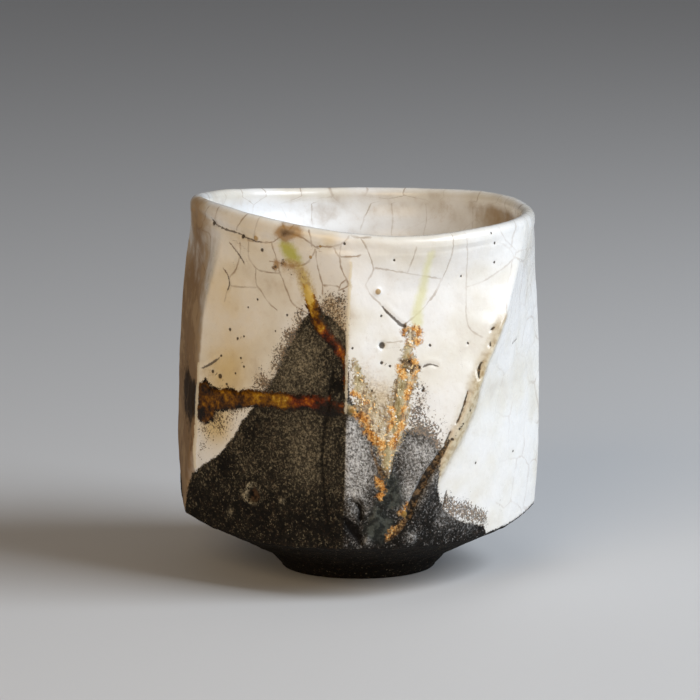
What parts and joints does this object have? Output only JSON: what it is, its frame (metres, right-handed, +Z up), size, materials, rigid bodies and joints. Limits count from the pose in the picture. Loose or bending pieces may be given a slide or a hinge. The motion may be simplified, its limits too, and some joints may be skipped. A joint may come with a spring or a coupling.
{
  "type": "handleless teacup",
  "caption": "Handleless raku teacup: hollow round-rimmed vessel with a faceted wall, undercut shoulder and small foot ring, for drinking tea or display.",
  "frame": {"origin": "middle of the foot ring's underside, where the cup stands on the table", "axes": "+Z up through the open mouth; -Y towards the front, the side with the bare dark patch and the amber runs; +X to the right of that front"},
  "size_m": [0.0882, 0.0885, 0.0912],
  "materials": {
    "glazed_clay": "white crackle raku glaze over dark grainy clay left bare in places, with amber runs, glossy"
  },
  "bodies": {
    "root": {"cup": "glazed_clay"}
  },
  "joints": []
}
